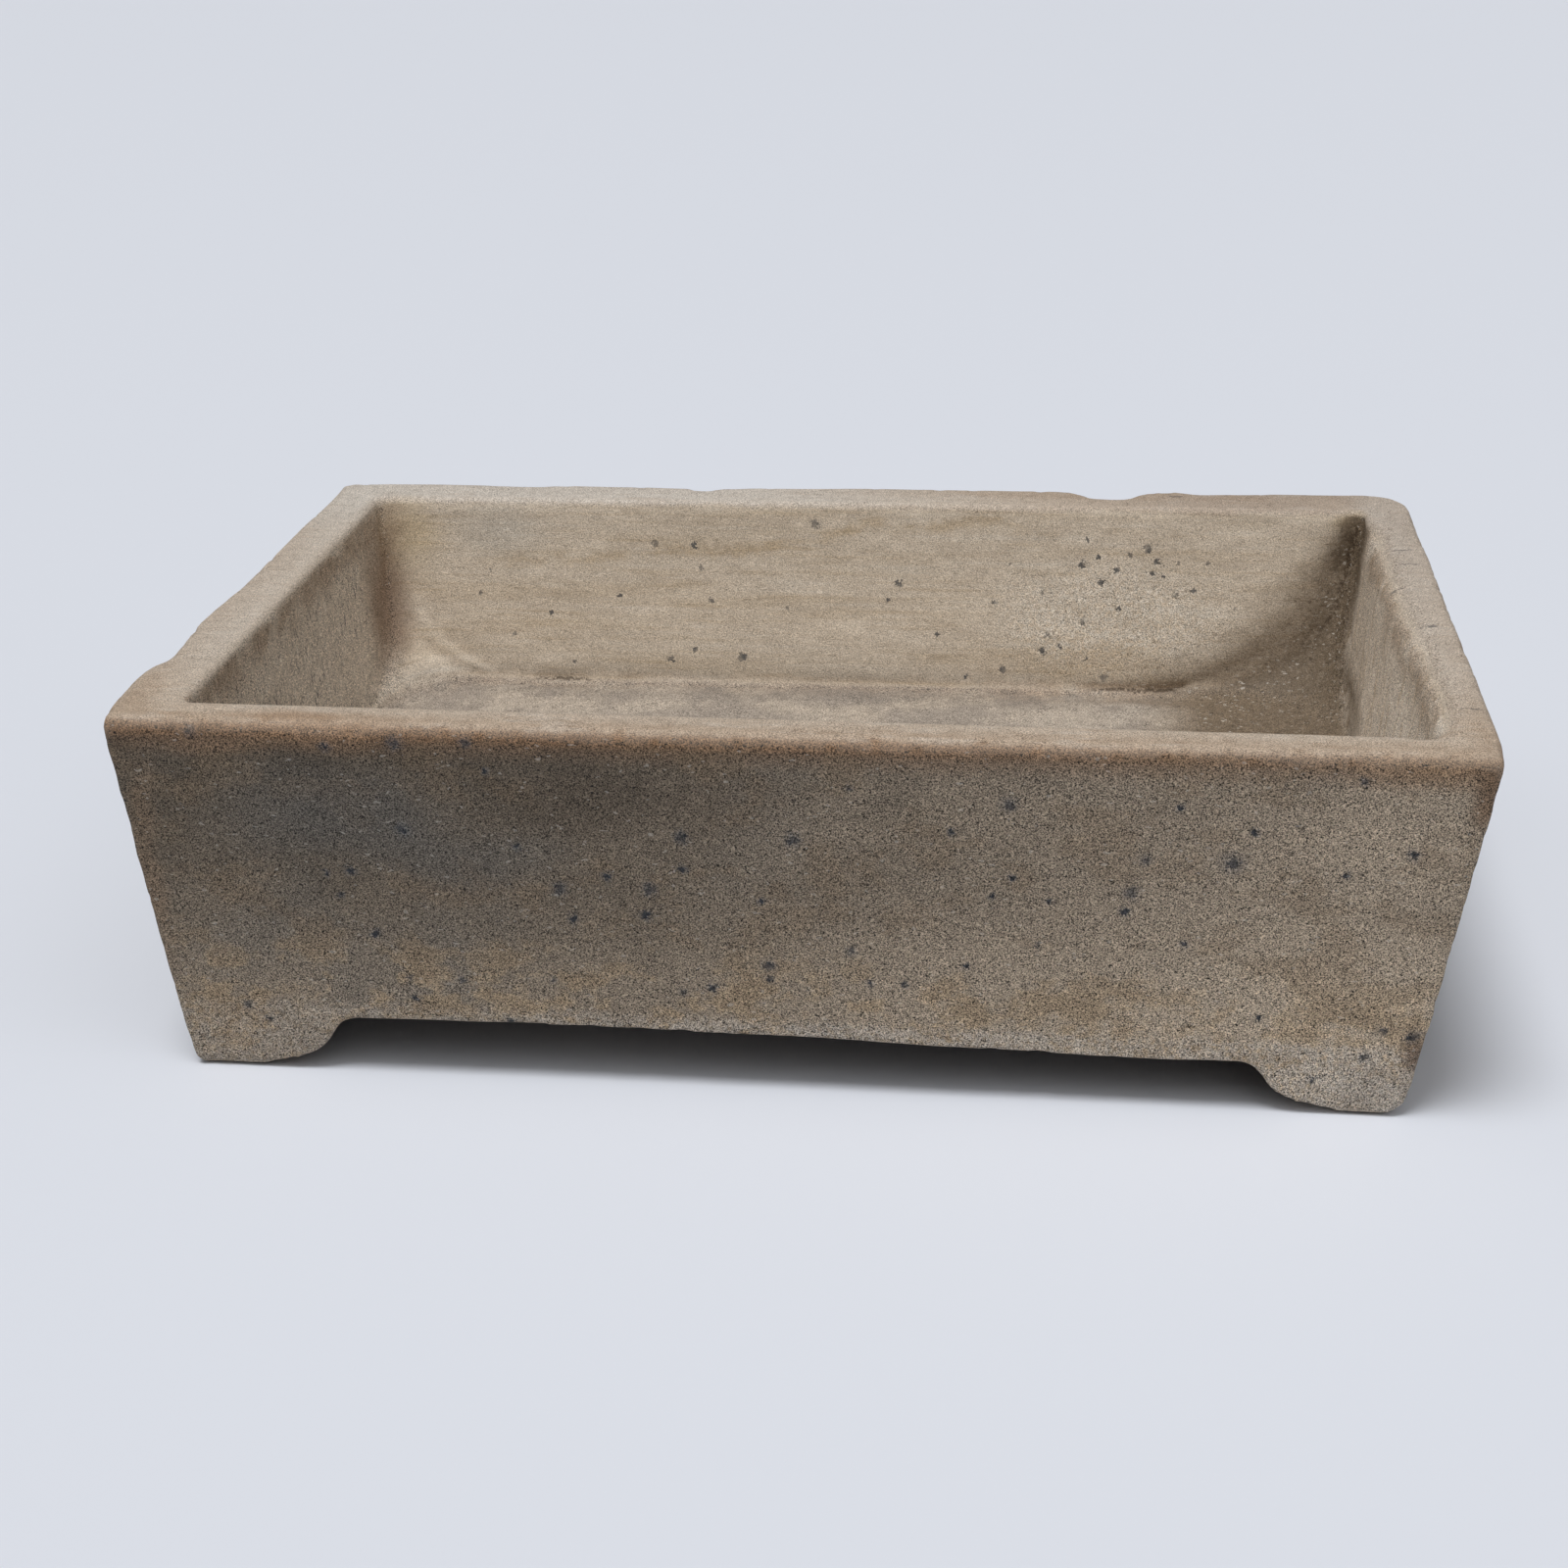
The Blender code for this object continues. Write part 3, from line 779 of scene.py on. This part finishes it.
wallSpots = {
    1.2: ((-66, 104), (-62, 91), (11, 92), (54, 92), (-69, 70), (-144, 75), (-129, 84), (43, 61),
          (-154, 102), (-158, 92), (91, 118), (95, 111), (127, 109), (117, 105), (134, 98), (81, 74),
          (92, 70), (151, 91), (122, 104), (108, 112), (104, 90), (73, 96), (60, 108), (-100, 92),
          (-119, 64), (31, 78), (-30, 88), (139, 109)),
    1.7: ((-85, 114), (-69, 113), (15, 99), (-79, 66), (58, 64), (89, 108), (103, 106), (97, 101),
          (127, 96), (90, 84), (76, 79), (99, 62), (119, 110), (74, 72)),
    2.4: ((-19, 123), (-49, 67), (115, 115)),
}
rimDashes = ((210, 54), (210, -20), (215, -103), (202, 26), (210, 72), (126, 141))     # X and Y
rimDashRadii = (4.5, 1.0, 8)

# Cracks along the floor's back edge: middle along X, then where they end and where they are dark
darkCracks = ((-124, 14, 9), (112, 21, 14))

# Ochre vein along the back wall: place along X, height
vein = ((-220, 104), (-151, 106), (-104, 108), (-89, 111), (-54, 111), (-26, 116), (-5, 120), (6, 124),
        (16, 121), (30, 122), (55, 125), (67, 121), (130, 118), (220, 118))


def spotsNear(where, groups):
    # how near the closest spot is, in shares of its radius
    flat = Wire.node("VectorMath", {"operation": "MULTIPLY"}, {0: where, 1: (1, 0, 1)})
    nearest = 9.0            # where no spot is near
    for radius, places in groups.items():
        closest = 99.0       # mm
        for x, z in places:
            distance = Wire.node("VectorMath", {"operation": "DISTANCE"}, {0: flat, 1: (x, 0, z)}, "Value")
            closest = distance.atMost(closest)
        nearest = (closest * (1 / radius)).atMost(nearest)
    return nearest


def byZone(amounts, zones):
    # the rim's amount, changed in each zone
    total = amounts["rim"]
    for name in amounts:
        if name != "rim":
            total = total + amounts[name] * zones[name]
    return total


def outsideColor(x, y, z, noises, marks):
    # dark at the upper left of the front, paler to the right and below: partly soil, partly painted light
    # and shade
    broad, wide, medium, patches = (noises[name] for name in ("broad", "wide", "medium", "patches"))
    front = fade(y, -60, -110)
    across = paleness["rightwards"] * fade(x, -130, 215) * front + paleness["otherSides"] * (1 - front)
    pale = paleness["least"] + across + paleness["lowDown"] * fade(z, 85, 22)
    pale = pale - paleness["underRim"] * fade(z, 96, 122)
    pale = pale + paleness["broad"] * (broad - 0.5) + paleness["wide"] * (wide - 0.5)
    color = mix(paint["soiledAndShaded"], paint["weathered"], pale.atMost(1.0).atLeast(0.0))
    color = mix(color, paint["coolGrey"], strength["coolGrey"] * fade(wide, 0.50, 0.66) * fade(x, 60, -80))
    color = mix(color, paint["brownBand"], strength["brownBand"] * fade(z + 5 * (broad - 0.5), 117, 127))
    tan = fade(z + 20 * (broad - 0.5), 62, 34) * fade(patches + 0.3 * (medium - 0.5), 0.46, 0.58)
    color = mix(color, paint["tan"], strength["tan"] * tan * front)
    crust = fade(z + 6 * (medium - 0.5), 29, 24) * fade(noises["pits"], 0.34, 0.56)
    crust = crust * (strength["lime"] + strength["limeRight"] * fade(x, -120, 20))
    color = mix(color, paint["lime"], crust)
    color = mix(color, paint["earth"], strength["earth"] * fade(patches, 0.50, 0.64) * front)
    # painted shade: the arches' undersides and the feet's insides darkened, partly as dust
    return mix(color, paint["under"], fade(z, 26, 20) * fade(marks["inward"], 3, 9) * fade(z, 1.5, 6))


def rimStone(x, y, where, noises, marks):
    # pale along the inner edge, greyer at the back left and duller at the back right
    streaks = cloud(stretch(where, 14, 2.2, 2.2), 1, 3, 0.6, 41)
    worn = fade(marks["inward"] + 8 * (noises["medium"] - 0.5), 2, 16)
    color = mix(paint["rim"], paint["rimPale"], strength["rimPale"] * worn)
    color = mix(color, paint["rimGrey"], strength["rimGrey"] * fade(y, 30, 130) * fade(x, 120, -80))
    color = mix(color, paint["rimDull"], strength["rimDull"] * fade(y, -60, 110) * fade(x, 20, 180))
    color = mix(color, paint["rimGrey"], strength["rimEnds"] * fade(abs(x), 188, 206) * fade(y, -135, -70))
    rusty = fade(streaks + 0.8 * (noises["broad"] - 0.5), 0.56, 0.74)
    color = mix(color, paint["rust"], strength["rimRust"] * rusty)
    grey = fade(streaks + 0.8 * (noises["patches"] - 0.5), 0.46, 0.30)
    return mix(color, paint["rimGrey"], strength["rimStreaks"] * grey)


def endWallColor(color, x, where, noises, ends):
    # end walls paler, partly as painted light, the left one darker as painted shade; upright grey and white
    # flecks, ochre streaks on the right-hand wall
    flecks = cloud(stretch(where, 1.7, 1.7, 6.5), 1, 3, 0.6, 31)
    color = mix(color, paint["endWall"], strength["endWall"] * ends)
    color = scale(color, 1 - strength["leftDarker"] * ends * fade(x, 60, -60))
    sooty = strength["darkFlecks"] - strength["fewerRight"] * fade(x, 60, 120)
    sooty = sooty * (0.45 + 0.85 * fade(noises["patches"], 0.40, 0.60))
    color = mix(color, paint["innerSpot"], sooty * ends * fade(flecks, 0.56, 0.70))
    color = mix(color, paint["white"], strength["whiteFlecks"] * ends * fade(flecks, 0.44, 0.30))
    streaks = cloud(stretch(where, 3.0, 4.5, 60), 1, 3, 0.6, 71)
    streaks = strength["endStreaks"] * ends * fade(streaks, 0.52, 0.66) * fade(x, 60, 120)
    return mix(color, paint["ochre"], streaks)


def veinLine(x, y, z, noises):
    # 1 along the ochre vein, broken up
    half, tall = block["rimHalfLength"], block["height"]
    line = [((placeX + half) / (2 * half), height / tall) for placeX, height in vein]
    height = tall * Wire.node("FloatCurve", {"points": line}, {"Value": (x + half) * (1 / (2 * half))})
    away = abs(z - height + 6 * (noises["medium"] - 0.5))
    return fade(away, 3.6, 0.3) * fade(y, 90, 100) * fade(noises["patches"], 0.34, 0.54)


def hollowColor(x, y, z, where, noises, zones):
    # bedded ochre and pale streaks, speckled end walls, rust under the ends' worn lips
    broad, medium, patches = (noises[name] for name in ("broad", "medium", "patches"))
    bedding = cloud(stretch(where, 55, 55, 2.6), 1, 3, 0.65)
    layers = cloud(stretch(where, 140, 140, 9), 1, 2, 0.5, 5)
    banded = strength["bedding"] * fade(bedding, 0.50, 0.72) + strength["layers"] * fade(layers, 0.50, 0.66)
    color = mix(paint["hollow"], paint["ochre"], banded)
    color = mix(color, paint["white"], strength["paleBedding"] * fade(bedding, 0.46, 0.30))
    whitish = strength["whitish"] * zones["whitish"] * fade(noises["pits"], 0.34, 0.66)
    color = mix(color, paint["white"], whitish)
    # painted shade: darker low down in the hollow
    color = scale(color, 1 - 0.10 * fade(z, 84, 62))
    mottled = fade(bedding + 0.8 * (patches - 0.5), 0.36, 0.62)
    color = mix(color, paint["basinFloor"], zones["floor"] * (0.66 + 0.34 * mottled))

    color = endWallColor(color, x, where, noises, zones["ends"])
    lip = fade(z + 8 * (medium - 0.5), 111, 124) * fade(z, 130, 127) * fade(abs(x), 188, 194)
    lip = strength["lipRust"] * lip * fade(patches, 0.30, 0.60) * fade(y, 120, 100)
    color = mix(color, paint["rust"], lip)

    line = veinLine(x, y, z, noises)
    color = mix(color, paint["ochre"], strength["vein"] * line * fade(x, 90, 60) * fade(x, -175, -125))
    # painted shade along the back wall's foot and the floor's back strip
    color = scale(color, 1 - 0.20 * fade(z, 66, 59) * fade(y, 84, 102))
    # a rust band at the back wall's foot, partly rust, partly painted shade
    foot = fade(abs(z - (block["floorLevel"] + 2) + 4 * (medium - 0.5)), 3.6, 0.8) * fade(y, 96, 106)
    return mix(color, paint["rust"], foot * (0.12 + 0.30 * fade(x, 20, 110)) * fade(broad, 0.36, 0.52))


def darkCorner(color, x, y, z, noises, marks, zones, specks):
    # darkened from the crease leftwards, less far higher up, and over the cove on its right: partly soil,
    # partly painted shade
    crease = marks["crease"]
    medium, pits = noises["medium"] - 0.5, noises["pits"]
    reach = (cornerSoilAndShade["top"] - z).atMost(cornerSoilAndShade["reach"]) * (1 - 0.45 * zones["floor"])
    away = (crease + cornerSoilAndShade["ragged"] * (noises["broad"] - 0.5)) / reach
    rough = 6 * medium
    spared = (0.7 * fade(crease + rough, -10, -30)).atLeast(fade(y + rough, 116, 96) * fade(z, 62, 84))
    spared = spared * fade(x + rough, 190, 197)
    cove = fade(crease + 8 * medium, 14, 0).atLeast(zones["floor"] * fade(crease, 42, 0))
    shade = fade(away, 1.0, 0.05) * fade(y, 20, 75) * (1 - cornerSoilAndShade["sparedShare"] * spared)
    shade = shade * (0.76 + 0.24 * cove) * (0.60 + 0.8 * pits)
    color = mix(color, paint["sootAndShade"], shade.atMost(1.0))
    color = scale(color, 1 - cornerSoilAndShade["darker"] * cove * shade.atMost(1.0))

    # open crystals in the crease, dark and white ones around it
    cleft = fade(abs(crease + 4 * medium), 1.6, 0.3) * fade(z, 62, 92) * fade(z, 128, 124)
    cleft = cleft * fade(y, 88, 98) * fade(pits, 0.40, 0.54)
    color = mix(color, paint["crack"], cornerSoilAndShade["cleft"] * cleft)
    color = mix(color, paint["crack"], cornerSoilAndShade["darkCrystals"] * shade * fade(specks, 0.080, 0.030))
    white = cornerSoilAndShade["whiteCrystals"] + cornerSoilAndShade["whiteInCrease"] * fade(abs(crease), 14, 4)
    return mix(color, paint["white"], white * shade * fade(specks, 0.955, 0.975) * (1 - cleft))


def cracksAlongFloor(x, y, z, noises):
    # thin and broken, deepest where the skin is cut
    away = abs(z + 3.0 * (noises["medium"] - 0.5) - (block["floorLevel"] + 1.3))
    near = fade(away, 0.9, 0.2) * fade(y, 104, 110)
    left, right = (fade(abs(x - middle), end, whole) for middle, end, whole in darkCracks)
    return near * left.atLeast(right) * fade(noises["pits"], 0.40, 0.50)


def addSpots(color, y, where, noises, grain, hollow):
    # ragged like the crystals that they are made of, and some of them faint
    tight = warp(where, 1.7, 1.6)
    ragged = 0.5 * (grain - 0.5) + 1.0 * (noises["pits"] - 0.5)
    strong = 0.64 + 0.36 * fade(cloud(where, 9, 1, 0.5, 61), 0.42, 0.56)
    onFront = spotsNear(tight, frontSpots) + ragged
    outer = fade(y, -110, -125) * (1 - hollow)
    color = mix(color, paint["halo"], strength["halo"] * fade(onFront, 2.0, 0.8) * outer)
    color = mix(color, paint["spot"], strength["spot"] * strong * fade(onFront, 0.92, 0.66) * outer)
    onWall = spotsNear(tight, wallSpots) + ragged
    inner = strength["innerSpot"] * strong * fade(onWall, 0.95, 0.60) * hollow * fade(y, 90, 100)
    color = mix(color, paint["innerSpot"], inner)
    for dashX, dashY in rimDashes:
        dash = nearness(tight, (dashX, dashY, block["height"]), rimDashRadii) + ragged
        color = mix(color, paint["innerSpot"], strength["dash"] * fade(dash, 1.1, 0.5))
    return color


def makeStone():
    stone = bpy.data.materials.new("sandyStone")
    stone.use_nodes = True
    Wire.tree = stone.node_tree
    where = scale(Wire.node("TexCoord", {}, {}, "Object"), 1000)
    x = Wire.node("SeparateXYZ", {}, {0: where})
    y, z = x.sister("Y"), x.sister("Z")
    marks = {name: mark(name) for name in markNames}
    lying = stretch(where, 1.5, 1.5, 1)
    noises = {name: cloud(lying if name == "patches" else where, *kind) for name, kind in clouds.items()}
    fine, medium, broad = noises["fine"], noises["medium"], noises["broad"]
    grain = crystals(where, surface["crystal"])
    specks = crystals(warp(stretch(where, 1.5, 1, 0.8), 2.5, 1.2), surface["speck"])
    loose = warp(where, 30, 7)          # for soft-edged stains

    # the hollow, the outside and the rim's top, with ragged borders
    edge = z + 2.4 * (medium - 0.5) + 2.0 * (broad - 0.5)
    hollow = fade(marks["inward"], 9, 14) * fade(z, 32, 50) * fade(edge, 130.6, 128.0)
    outside = (1 - hollow) * fade(edge, 131.3, 127.6)
    zones = {
        "hollow": hollow,
        "outside": outside,
        "floor": hollow * fade(marks["facingUp"], 0.55, 0.9) * fade(z, 68, 58),
        "ends": hollow * fade(marks["facingEnd"], 0.55, 0.85),
        "whitish": hollow * fade(nearness(loose, *whitishPatch), 1.15, 0.35),
    }

    # rim and outside, then the hollow, stains, the soiled corner, cracks and spots
    color = mix(rimStone(x, y, where, noises, marks), outsideColor(x, y, z, noises, marks), outside)
    low = z + 1.6 * (medium - 0.5)
    under = fade(low, 130.7, 129.3) * fade(low, 124.0, 128.5) * fade(y, -115, -125)
    color = mix(color, paint["brownEdge"], (strength["brownEdge"] - 0.25 * fade(x, 20, 180)) * under)
    color = mix(color, hollowColor(x, y, z, where, noises, zones), hollow)
    color = mix(color, paint["rust"], strength["furrowRust"] * hollow * fade(marks["furrow"], 0.10, 0.55))
    for center, radii, tint, share in stainsAndShade:
        color = mix(color, tint, share * fade(nearness(loose, center, radii), 1.15, 0.2))
    color = mix(color, darkCorner(color, x, y, z, noises, marks, zones, specks), hollow)
    color = mix(color, paint["crack"], strength["crack"] * cracksAlongFloor(x, y, z, noises) * hollow)
    color = addSpots(color, y, where, noises, grain, hollow)

    # grain: salt and pepper outside, finer contrast on the worn rim and in the hollow
    salt = surface["crystalContrast"] * (grain - 0.5) + surface["fineContrast"] * (fine - 0.5)
    speckle = byZone(grainAmount, zones) * salt + byZone(mottling, zones) * (medium - 0.5)
    color = scale(color, 1 + speckle)
    sparkle = strength["sparkle"] * fade(specks, 0.985, 0.994) * byZone(sparkling, zones)
    color = mix(color, paint["white"], sparkle)
    worn = strength["wornEdge"] * fade(marks["ridge"], 0.25, 0.8) * fade(z, 122, 128)
    color = mix(color, paint["rimPale"], worn)

    fineRelief = surface["fineRelief"] + surface["fineReliefOutside"] * outside
    pitRelief = surface["pitRelief"] + surface["pitReliefOutside"] * outside
    relief = fineRelief * fine + pitRelief * noises["pits"] + surface["mediumRelief"] * medium
    bump = Wire.node("Bump", {}, {"Strength": 1.0, "Distance": surface["bumpHeight"], "Height": relief})
    roughness = surface["roughness"] + surface["rougherOutside"] * outside
    roughness = roughness + surface["unevenGloss"] * (fine - 0.5)

    shader = stone.node_tree.nodes["Principled BSDF"].inputs
    for name, wire in (("Base Color", color), ("Roughness", roughness), ("Normal", bump)):
        stone.node_tree.links.new(wire.socket, shader[name])
    shader["Specular IOR Level"].default_value = surface["specular"]
    print("stone painted,", len(stone.node_tree.nodes), "nodes")
    return stone


bowl.data.materials.clear()
bowl.data.materials.append(makeStone())

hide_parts("stone_bowl")
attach(bowl, "root")
